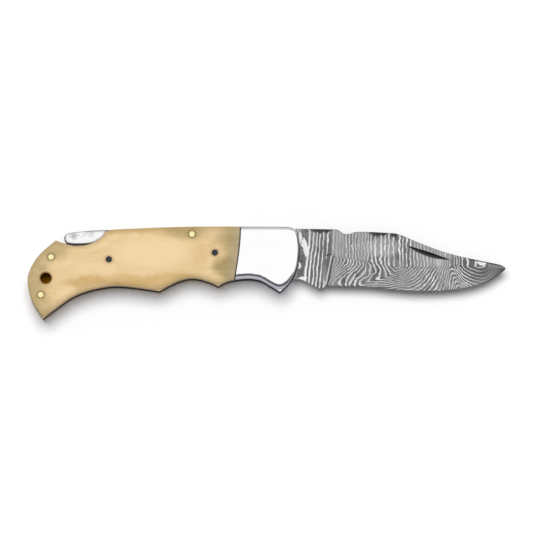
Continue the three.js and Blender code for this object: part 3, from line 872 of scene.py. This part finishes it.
# Where a bright layer lies flat in the surface, and where the surface is burnt black
BRIGHT_BLOTCHES = [
    ((7.0, 7.6), (1.1, 2.2)),
    ((7.9, 4.8), (1.1, 2.6)),
    ((5.6, 9.6), (0.6, 2.6)),
    ((6.4, -5.7), (2.0, 0.7)),
    ((5.4, -1.0), (0.6, 1.6)),
    ((73.2, 0.3), (2.0, 1.0)),
]
BURNT_CHIPS = [
    ((13.5, SPINE - 0.4), (5.4, 1.9)),
    ((35.0, SPINE - 1.5), (4.6, 2.0)),
    ((40.8, SPINE - 2.0), (1.6, 2.2)),
    ((16.3, 3.1), (1.5, 0.35)),
]

# Between which distances from halfway between two whole counts each kind of line fades in
BRIGHT_LINE = (0.37, 0.45)
DARK_LINE = (0.34, 0.20)

# The burnt rim at the point: its slope, and where it fades in upwards and along the blade
RIM_SLOPE = 0.2
RIM_HEIGHT = (14.9, 15.3)
RIM_START = (67, 71)

# How the bolster's front bows, how the plunge line leans, and where it is at the pivot's height
BOLSTER_BOW = -0.0195
PLUNGE_LEAN = 0.2
PLUNGE_FOOT = PLUNGE - 0.65

PLAIN_STEEL = (0.54, 0.535, 0.53)
STEEL_IN_LINES = (0.39, 0.385, 0.38)
SPECKLE = (0.24, 0.237, 0.235)
BRUSHED = (0.66, 0.66, 0.65)
HAIR_LINE = (0.16, 0.158, 0.155)
PLAIN_POINT = (0.22, 0.218, 0.215)
DARK_LAYER = (0.10, 0.098, 0.095)
DARK_SPECKLE = (0.25, 0.248, 0.245)
BRIGHT_LAYER = (0.95, 0.95, 0.94)
BRIGHT_BLOTCH = (0.96, 0.96, 0.95)
BURNT = (0.05, 0.05, 0.05)
# Painted shadow along the bolster's front
BOLSTER_SHADOW = (0.05, 0.045, 0.05)

# The painted highlight and the painted shadow along the plunge line: where each starts and ends,
# and its grey
PLUNGE_LIGHT_AND_SHADE = [
    (-0.35, -0.05, 0.9),
    (0.25, 0.6, 0.04),
]


def along_blade(tree, x, heights):
    """The height at x of a smooth line through (place along the blade, height) points."""
    most = max(height for _, height in heights)
    first, *others, last = [(place / REACH, height / most) for place, height in heights]
    curve = node(tree, "FloatCurve", {"Value": calc(tree, "DIVIDE", x, REACH)})
    points = curve.mapping.curves[0].points
    points[0].location = first
    points[1].location = last
    for position, height in others:
        points.new(position, height)
    curve.mapping.update()
    return times(tree, curve.outputs[0], most)


def grind_depth(tree, place):
    """How far each place lies under the cheek, as the blade thins towards its point."""
    (start, thick), (end, thin) = DISTAL_TAPER[1:3]
    cheek = remap(tree, axis_of(tree, place, 0), start, end, thick, thin, smooth=False)
    return minus(tree, cheek, calc(tree, "ABSOLUTE", axis_of(tree, place, 2)))


def layer_count(tree, place, drop):
    """The number of the layer at each place: the one that the folds bring to the near cheek, and
    from there down through the blade. The folds sway, and lean back in the grind."""
    x, y, z = (axis_of(tree, place, axis) for axis in range(3))
    lean = times(tree, y, remap(tree, x, PLUNGE - 1, PLUNGE + 4, -0.085, 0.0))
    along = calc(tree, "ADD", x, lean)
    sway = minus(tree, noise(tree, place, (0.16, 0.12, 0.1), detail=1), 0.5)
    along = calc(tree, "ADD", along, times(tree, sway, 1.2))
    shiver = minus(tree, noise(tree, place, (0.6, 0.5, 0.4), detail=2), 0.5)
    shiver = times(tree, shiver, remap(tree, x, PLUNGE - 1, PLUNGE + 6, 0.8, 1.5))
    along = calc(tree, "ADD", along, shiver)
    lean_back = minus(tree, along_blade(tree, x, FOLD_LEAN), LEAN_AHEAD)
    along = calc(tree, "MULTIPLY_ADD", lean_back, remap(tree, drop, 0, HALF_BLADE), along)

    depth = times(tree, minus(tree, HALF_BLADE, z), LAYERS_PER_MM)
    return calc(tree, "ADD", along_blade(tree, along, LAYER_FOLDS), depth)


def layer_lines(tree, place, count, ground):
    """The bright lines, where the count is whole, and the dark ones halfway between."""
    off = calc(tree, "ABSOLUTE", minus(tree, calc(tree, "FRACT", count), 0.5))
    swell = minus(tree, noise(tree, place, (0.35, 0.25, 0.3), detail=2), 0.5)
    off = calc(tree, "MULTIPLY_ADD", swell, 0.3, off)
    off = calc(tree, "MULTIPLY_ADD", ground, 0.035, off)
    off = calc(tree, "ADD", off, along_blade(tree, axis_of(tree, place, 0), LINE_WIDENING))
    return remap(tree, off, *BRIGHT_LINE), remap(tree, off, *DARK_LINE)


def line_force(tree, place, ground):
    """How bold the lines are, on the cheek and where the blade is ground."""
    x = axis_of(tree, place, 0)
    cheek = minus(tree, 1.0, ground)
    on_cheek = times(tree, along_blade(tree, x, CHEEK_FORCE), cheek)
    on_grind = times(tree, along_blade(tree, x, GRIND_FORCE), ground)
    uneven = noise(tree, place, (0.25, 0.2, 0.2), detail=2)
    force = calc(tree, "ADD", on_cheek, on_grind)
    force = times(tree, force, remap(tree, uneven, 0.3, 0.6, 0.6, 1.0))
    calm = spot(tree, place, *CALM_SPOT)
    return times(tree, force, remap(tree, calm, 0, 1, 1, 0.1))


def quiet_steel(tree, place, count, force, speckle):
    """The steel under the bold lines: speckled, brushed across, with hair lines and soft shades."""
    x = axis_of(tree, place, 0)
    fine = noise(tree, place, (4.0, 0.3, 1.0), detail=3, roughness=0.7)
    colour = mixed(tree, force, PLAIN_STEEL, STEEL_IN_LINES)
    colour = mixed(tree, remap(tree, speckle, 0.4, 0.65, 0, 0.55), colour, SPECKLE)
    colour = mixed(tree, remap(tree, fine, 0.45, 0.7, 0, 0.5), colour, BRUSHED)

    halves = calc(tree, "FRACT", times(tree, count, 2.0))
    hair = remap(tree, calc(tree, "ABSOLUTE", minus(tree, halves, 0.5)), 0.1, 0.45)
    hair = times(tree, hair, minus(tree, 1.0, force))
    colour = tinted(tree, hair, 0.45, colour, HAIR_LINE)
    colour = mixed(tree, remap(tree, x, REACH - 13, REACH - 5, 0, 0.8), colour, PLAIN_POINT)
    for area, strength, tint in BLADE_SHADES:
        colour = tinted(tree, spot(tree, place, *area), strength, colour, tint)
    return colour


def marked(tree, place, colour):
    """Ragged bright blotches, and what is burnt black: chips, and the spine's rim at the point."""
    x, y, z = (axis_of(tree, place, axis) for axis in range(3))
    ragged = warped(tree, place, 0.7, 2.0)
    for centre, reach in BRIGHT_BLOTCHES:
        blotch = spot(tree, ragged, centre, reach, 0.25)
        colour = tinted(tree, blotch, 0.95, colour, BRIGHT_BLOTCH)
    on_face = remap(tree, calc(tree, "ABSOLUTE", z), 0.9, 1.15)
    for centre, reach in BURNT_CHIPS:
        chip = times(tree, spot(tree, ragged, centre, reach, 0.35), on_face)
        colour = tinted(tree, chip, 0.95, colour, BURNT)
    height = calc(tree, "MULTIPLY_ADD", x, RIM_SLOPE, y)
    rim = times(tree, remap(tree, height, *RIM_HEIGHT), remap(tree, x, *RIM_START))
    return tinted(tree, rim, 0.8, colour, BURNT)


def shadowed_at_bolster(tree, place, colour):
    """Painted shadow in the corner along the bolster's bowed front."""
    front_x, front_y = FRONT_LINE[2]
    up = minus(tree, axis_of(tree, place, 1), front_y)
    bowed = calc(tree, "MULTIPLY_ADD", times(tree, up, up), BOLSTER_BOW, front_x)
    ahead = minus(tree, axis_of(tree, place, 0), bowed)
    return mixed(tree, remap(tree, ahead, 0.75, 0.3, 0.0, 0.85), colour, BOLSTER_SHADOW)


def lit_and_shaded_at_plunge(tree, place, colour):
    """A painted highlight and a painted shadow strip where the flat drops to the grind."""
    y = axis_of(tree, place, 1)
    plunge = calc(tree, "MULTIPLY_ADD", y, PLUNGE_LEAN, PLUNGE_FOOT)
    ahead = minus(tree, axis_of(tree, place, 0), plunge)
    below = remap(tree, y, 3.3, 2.9)
    for start, end, grey in PLUNGE_LIGHT_AND_SHADE:
        begun = remap(tree, ahead, start - 0.15, start)
        strip = times(tree, begun, remap(tree, ahead, end + 0.2, end))
        strip = times(tree, strip, below)
        colour = tinted(tree, strip, 0.8, colour, (grey,) * 3)
    return colour


def damascus_material():
    """Layered steel, folded along the blade, with the grind cut down through its layers."""
    material, tree, shader = new_material("layered_steel")
    shader.inputs["Metallic"].default_value = 1.0
    place = place_mm(tree)
    drop = grind_depth(tree, place)
    ground = remap(tree, drop, 0.02, 0.12)
    count = layer_count(tree, place, drop)
    bright_line, dark_line = layer_lines(tree, place, count, ground)
    force = line_force(tree, place, ground)
    speckle = noise(tree, place, (2.2, 2.2, 2.2), detail=3, roughness=0.6)
    colour = quiet_steel(tree, place, count, force, speckle)

    pale = spot(tree, place, *PALE_SPOT)
    dark_line = times(tree, dark_line, remap(tree, pale, 0, 1, 1.0, 0.35))
    dark_layer = mixed(tree, remap(tree, speckle, 0.38, 0.62), DARK_LAYER, DARK_SPECKLE)
    colour = tinted(tree, dark_line, force, colour, dark_layer)
    colour = tinted(tree, bright_line, force, colour, BRIGHT_LAYER)
    colour = marked(tree, place, colour)
    colour = shadowed_at_bolster(tree, place, colour)
    colour = lit_and_shaded_at_plunge(tree, place, colour)

    tree.links.new(colour, shader.inputs["Base Color"])
    tree.links.new(remap(tree, bright_line, 0, 1, 0.38, 0.25), shader.inputs["Roughness"])
    relief = minus(tree, bright_line, dark_line)
    bumped(tree, shader, relief, 0.12, 0.00004)
    return material


bone = bone_material()
# The bolsters take the painted shade on their steep sides
mirror = metal("mirror_steel", (0.985, 0.985, 0.985), 0.03, 0.05, 0.02, shaded_sides)
lever_steel = metal("lever_steel", (0.96, 0.96, 0.95), 0.12, 0.2, 0.35, thumbed_and_shaded)
liner_steel = metal("liner_steel", (0.32, 0.31, 0.30), 0.35, 0.2, 0.3, painted_liner_shade)
dark_steel = metal("dark_steel", (0.05, 0.065, 0.08), 0.3, 0.2, 0.3)
# Dark steel that paints the shade in the nail nick
nick_shade_steel = metal("nick_shade_steel", (0.16, 0.16, 0.16), 0.4, 0.2, 0.2)
brass = metal("brass", (0.80, 0.60, 0.22), 0.12, 0.2, 0.12, highlighted_at_pins)
damascus = damascus_material()


# Handle

HANDLE = [
    smooth_line(points)
    for points in (
        SPINE_LINE, FRONT_LINE, BOLSTER_SCOOP, FINGER_SCOOP, BELLY_LINE, BUTT_LINE, LEVER_SCOOP
    )
]


def ahead_of_seam(offset):
    """Everything ahead of the seam, moved forwards by the offset."""
    seam = smooth_line([(x + offset, y) for x, y in SEAM_LINE])
    corners = ((seam[-1].x, -FAR_OUT), (FAR_OUT, -FAR_OUT), (FAR_OUT, seam[0].y))
    line = [*seam, *(Vector(corner) for corner in corners)]
    return stack("ahead", [(line, 0), (line, 2 * FACE_Z)])


def hole(centre, radius):
    return rod("hole", centre, radius, 0, 2 * FACE_Z)


def lanyard_hole():
    """The hole, which widens at its broken rim."""
    bore = circle(LANYARD_HOLE, LANYARD_RADIUS)
    rim = circle(LANYARD_HOLE, LANYARD_RADIUS + LANYARD_RIM)
    return stack("hole", [(bore, 0), (bore, FACE_Z - LANYARD_RIM_DEPTH), (rim, FACE_Z + OVERCUT)])


def scale():
    """The near scale, with the lanyard hole and the holes for its pins and rivets."""
    slab = rounded_plate("bone_scale_near", HANDLE, SCALE_Z, FACE_Z)
    brass_holes = [hole(p, BRASS_RADIUS + PIN_FIT) for p in BRASS_PINS]
    rivet_holes = [hole(p, RIVET_RADIUS + PIN_FIT) for p in RIVETS.values()]
    tools = [ahead_of_seam(-SEAM / 2), lanyard_hole(), *brass_holes, *rivet_holes]
    return combine(slab, tools, "DIFFERENCE")


def bolster():
    """The near bolster, cut from the same rounded plate as the scale."""
    slab = rounded_plate("steel_bolster_near", HANDLE, SCALE_Z, FACE_Z)
    return combine(slab, [ahead_of_seam(SEAM / 2)], "INTERSECT")


near_scale = scale()
near_bolster = bolster()
dressed_pair(near_scale, bone, "scale")
dressed_pair(near_bolster, mirror, "bolster")


# Pins and rivets, their ends broken so that each shows a bright and a dark rim

for name, centre in (
    ("upper_tail_pin", UPPER_TAIL_PIN),
    ("lower_tail_pin", LOWER_TAIL_PIN),
    ("lock_bar_pin", LOCK_PIN),
):
    pin = rod(f"brass_{name}", centre, BRASS_RADIUS, -FACE_Z, FACE_Z, PIN_CHAMFER)
    dressed(pin, "handle", brass, [name])

for name, centre in RIVETS.items():
    top = FACE_Z - RIVET_SINK
    head = rod(f"near_{name}_head", centre, RIVET_RADIUS, LINER_Z, top, RIVET_CHAMFER)
    dressed_pair(head, dark_steel, name)


# Blade

def tang_outline():
    """The tang and the ricasso: along the spine, down the plunge line, and round the heel."""
    first, last = int(NOTCH_FLOOR[-1][0] / TANG_STEP), int(GROUND_FROM / TANG_STEP)
    places = [*(i * TANG_STEP for i in range(first, last)), GROUND_FROM]
    top = [Vector((x, height_at(BLADE_SPINE, x))) for x in places]
    relief = arc((0, 0), RELIEF_RADIUS, RELIEF_START, RELIEF_END, RELIEF_STEPS)
    notch_angle = math.acos(NOTCH_FLOOR[0][0] / HEEL_RADIUS) - 2 * math.pi
    heel = arc((0, 0), HEEL_RADIUS, HEEL_START, notch_angle, HEEL_STEPS)
    notch = [Vector(p) for p in NOTCH_FLOOR]
    return [*top, *smooth_line(PLUNGE_LINE), *smooth_line(RICASSO_BOTTOM), *relief, *heel, *notch]


def ground_blade():
    """The ground part: at each place along it a section with flat cheeks, a wedge and an edge."""
    count = int((REACH - GROUND_FROM) / BLADE_STEP)
    places = [GROUND_FROM + (REACH - GROUND_FROM) * i / count for i in range(count + 1)]
    bm = bmesh.new()
    loops = []
    for x in places:
        top, edge = height_at(BLADE_SPINE, x), height_at(BLADE_EDGE, x)
        grind = min(max(height_at(GRIND_LINE, x), edge + LEAST_HEIGHT), top - LEAST_HEIGHT)
        half = min(height_at(DISTAL_TAPER, x), HALF_BLADE)
        low = min(edge + BEVEL_HEIGHT, edge + BEVEL_SHARE * (grind - edge))
        thin = HALF_EDGE + (half - HALF_EDGE) * (low - edge) / (grind - edge)
        broken = min(BLADE_CHAMFER, (top - grind) / 2)
        spine = [(top, half - broken), (top - broken, half)]
        near = [*spine, (grind, half), (low, thin), (edge, HALF_KEEN)]
        section = near + [(y, -z) for y, z in reversed(near)]
        loops.append([bm.verts.new(in_frame(x, y, z)) for y, z in section])
    return lofted("ground", bm, loops)


def nick_wheel():
    """The cutter's disc, whose lower face leans out further, for a wide and flat lower side."""
    radius = ((NICK_LENGTH / 2) ** 2 + NICK_DEPTH**2) / (2 * NICK_DEPTH)
    cheek = height_at(DISTAL_TAPER, NICK_CENTRE[0])
    centre = Vector((*NICK_CENTRE, cheek + radius - NICK_DEPTH))
    inner = radius - CUTTER_RIM
    section = ((inner, -CUTTER_BELOW), (radius, 0), (inner, CUTTER_ABOVE))
    along = Vector((math.cos(NICK_ANGLE), math.sin(NICK_ANGLE), 0))
    across = Vector((-along.y, along.x, 0))
    bm = bmesh.new()
    loops = []
    for i in range(WHEEL_STEPS):
        angle = 2 * math.pi * i / WHEEL_STEPS
        out = along * math.sin(angle) - Vector((0, 0, math.cos(angle)))
        loops.append([bm.verts.new(in_frame(*(centre + out * r + across * a))) for r, a in section])
    hubs = [bm.verts.new(in_frame(*(centre + across * a))) for a in (-CUTTER_BELOW, CUTTER_ABOVE)]
    for first, second in zip(loops, [*loops[1:], loops[0]]):
        for k in (0, 1):
            bm.faces.new((first[k], first[k + 1], second[k + 1], second[k]))
        bm.faces.new((hubs[0], first[0], second[0]))
        bm.faces.new((hubs[1], second[2], first[2]))
    return made("nick", bm)


def blade():
    line = tang_outline()
    broken = inset(line, TANG_CHAMFER)
    rings = [
        (broken, -HALF_BLADE),
        (line, -HALF_BLADE + TANG_CHAMFER),
        (line, HALF_BLADE - TANG_CHAMFER),
        (broken, HALF_BLADE),
    ]
    whole = combine(stack("layered_blade", rings), [ground_blade()], "UNION")
    bore = rod("bore", (0, 0), PIVOT_RADIUS + BORE_FIT, -FACE_Z, FACE_Z)
    return combine(whole, [bore, nick_wheel()], "DIFFERENCE")


def shade_nick(obj):
    """The nick's own faces, cut below the cheek, get dark steel: painted shade in the recess."""
    obj.data.materials.append(nick_shade_steel)
    along = Vector((math.cos(NICK_ANGLE), math.sin(NICK_ANGLE)))
    for face in obj.data.polygons:
        place = face.center / MM - PIVOT
        off = Vector((place.x, place.y)) - Vector(NICK_CENTRE)
        beside = abs(off.dot(along)) < NICK_LENGTH and abs(off.cross(along)) < 2 * NICK_DEPTH
        if beside and place.z > 0 and abs(face.normal.z) < CHEEK_NORMAL:
            face.material_index = 1


shade_nick(dressed(blade(), "blade", damascus, ["blade"], sharp=3))


# Lock bar

def lock_bar():
    """The bar from the lever's tail to the tooth, its long edges rounded on both faces."""
    tooth_start, tooth_end = (math.acos(x / TOOTH_RADIUS) for x in (TOOTH_FRONT_X, TOOTH_REAR_X))
    line = [
        *smooth_line(LEVER_OUTLINE),
        *smooth_line(SPINE_LINE[2:4]),
        Vector((TOOTH_FRONT_X, SPINE)),
        *arc((0, 0), TOOTH_RADIUS, tooth_start, tooth_end, TOOTH_STEPS),
        *(Vector(p) for p in BAR_UNDERSIDE),
    ]
    rings = []
    for k in range(BAR_EDGE_STEPS + 1):
        angle = math.pi / 2 * (1 - k / BAR_EDGE_STEPS)
        back = BAR_EDGE * (1 - math.cos(angle))
        rings.append((inset(line, back), -HALF_BLADE + BAR_EDGE * (1 - math.sin(angle))))
    rings += [(ring, -z) for ring, z in reversed(rings)]
    bar = stack("lock_bar_steel", rings)
    bore = rod("bore", LOCK_PIN, BRASS_RADIUS + BORE_FIT, -FACE_Z, FACE_Z)
    return combine(bar, [bore], "DIFFERENCE")


dressed(lock_bar(), "lock_bar", lever_steel, ["lock_bar"])


# Pieces that stay as the frame has them

CARRIED = {
    "near_liner": liner_steel,
    "far_liner": liner_steel,
    "rear_spacer": liner_steel,
    "lock_spring": liner_steel,
    "near_washer": brass,
    "far_washer": brass,
    "near_bolster_pin": mirror,
    "far_bolster_pin": mirror,
    "pivot_pin": mirror,
}
for name, material in CARRIED.items():
    for material_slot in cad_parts[name].material_slots:
        material_slot.material = material


# Floor, light and camera

FLOOR_HALF = 2.0
FLOOR_WHITE = (0.98, 0.98, 0.985)
FLOOR_IN_STEEL = (0.42, 0.40, 0.45)
HOLE_SHADE = (0.55, 0.24, 0.0)
SKY_REACH = 0.007
SKY_SAMPLES = 12
FLOOR_EMISSION = 0.02

SKY_LIGHT = (0.97, 0.97, 1.0)
SKY_STRENGTH = 0.24

# The steel mirrors a white sky that darkens in a band towards the front, at the back and low down
WHITE = (1, 1, 1)
FRONT_BAND = (0.12, 0.11, 0.13)
FRONT_END = (0.50, 0.485, 0.53)
BACK_END = (0.30, 0.30, 0.32)
HORIZON = (0.30, 0.29, 0.32)

LIGHT_ENERGY = 2.56
LIGHT_WIDTH = math.radians(37)
LIGHT_TILT = math.radians(15.5)
LIGHT_ROLL = math.radians(-4)

TARGET = Vector((-0.0001, 0.0027, 0.006))
DISTANCE = 4.0
FIELD = 0.1984
ELEVATION = math.radians(84.5)
SENSOR = 36


def floor_material():
    """A pale floor, with a painted warm shade where it lies deep in the lanyard hole."""
    material, tree, shader = new_material("pale_floor")
    shader.inputs["Roughness"].default_value = 0.9
    shader.inputs["Specular IOR Level"].default_value = 0.0
    shader.inputs["Emission Color"].default_value = (1, 1, 1, 1)
    rays = node(tree, "LightPath").outputs
    colour = mixed(tree, rays["Is Glossy Ray"], FLOOR_WHITE, FLOOR_IN_STEEL)
    reach = {"Distance": SKY_REACH}
    # Painted shade, from how hemmed in the floor is
    sky = node(tree, "AmbientOcclusion", reach, samples=SKY_SAMPLES).outputs["AO"]
    open_floor = remap(tree, sky, 0.16, 0.36)
    colour = mixed(tree, open_floor, HOLE_SHADE, colour)
    tree.links.new(colour, shader.inputs["Base Color"])
    glow = times(tree, rays["Is Camera Ray"], FLOOR_EMISSION)
    tree.links.new(times(tree, glow, open_floor), shader.inputs["Emission Strength"])
    return material


def pale_floor():
    bm = bmesh.new()
    corners = ((-1, -1), (1, -1), (1, 1), (-1, 1))
    bm.faces.new([bm.verts.new((x * FLOOR_HALF, y * FLOOR_HALF, 0)) for x, y in corners])
    floor = made("floor", bm)
    floor.data.materials.append(floor_material())
    return floor


def mirrored_sky(tree):
    """What the steel mirrors, by direction. Camera rays see plain white."""
    direction = node(tree, "TexCoord").outputs["Generated"]
    front, height = (axis_of(tree, direction, axis) for axis in (1, 2))
    paler = remap(tree, front, -0.52, -0.66)
    shade = mixed(tree, paler, FRONT_BAND, FRONT_END)
    sky = mixed(tree, remap(tree, front, -0.22, -0.32), WHITE, shade)
    sky = mixed(tree, remap(tree, front, 0.5, 0.8, 0, 0.6), sky, BACK_END)
    sky = mixed(tree, remap(tree, height, 0.30, 0.12), sky, HORIZON)
    glossy = node(tree, "LightPath").outputs["Is Glossy Ray"]
    return mixed(tree, glossy, WHITE, sky)


def studio_world():
    """A dim sky for light, and a bright one for all that is seen or mirrored."""
    world = bpy.data.worlds.new("studio")
    world.use_nodes = True
    tree = world.node_tree
    background = tree.nodes["Background"]
    rays = node(tree, "LightPath").outputs
    seen = calc(tree, "MAXIMUM", rays["Is Camera Ray"], rays["Is Glossy Ray"])
    seen = calc(tree, "MAXIMUM", seen, rays["Is Transmission Ray"])
    colour = mixed(tree, seen, SKY_LIGHT, mirrored_sky(tree))
    tree.links.new(colour, background.inputs["Color"])
    tree.links.new(remap(tree, seen, 0, 1, SKY_STRENGTH, 1.0), background.inputs["Strength"])
    return world


def soft_light():
    """One wide sun, above the spine's side and a little to the butt's, that no steel mirrors."""
    lamp = bpy.data.lights.new("soft_light", "SUN")
    lamp.energy = LIGHT_ENERGY
    lamp.angle = LIGHT_WIDTH
    lamp_object = bpy.data.objects.new("soft_light", lamp)
    lamp_object.rotation_euler = (-LIGHT_TILT, LIGHT_ROLL, 0)
    lamp_object.visible_glossy = False
    return lamp_object


def high_camera():
    """Almost straight above the knife, and far off, so that the view is nearly parallel."""
    camera = bpy.data.cameras.new("camera")
    camera.sensor_width = SENSOR
    camera.lens = SENSOR * DISTANCE / FIELD
    camera.clip_start = 0.1
    camera.clip_end = 20
    camera_object = bpy.data.objects.new("camera", camera)
    back = Vector((0, -math.cos(ELEVATION), math.sin(ELEVATION)))
    camera_object.location = TARGET + back * DISTANCE
    camera_object.rotation_euler = (-back).to_track_quat("-Z", "Y").to_euler()
    return camera_object


pale_floor()

scene = bpy.context.scene
scene.world = studio_world()
scene.collection.objects.link(soft_light())
camera_object = high_camera()
scene.collection.objects.link(camera_object)
scene.camera = camera_object
scene.view_settings.view_transform = "Standard"
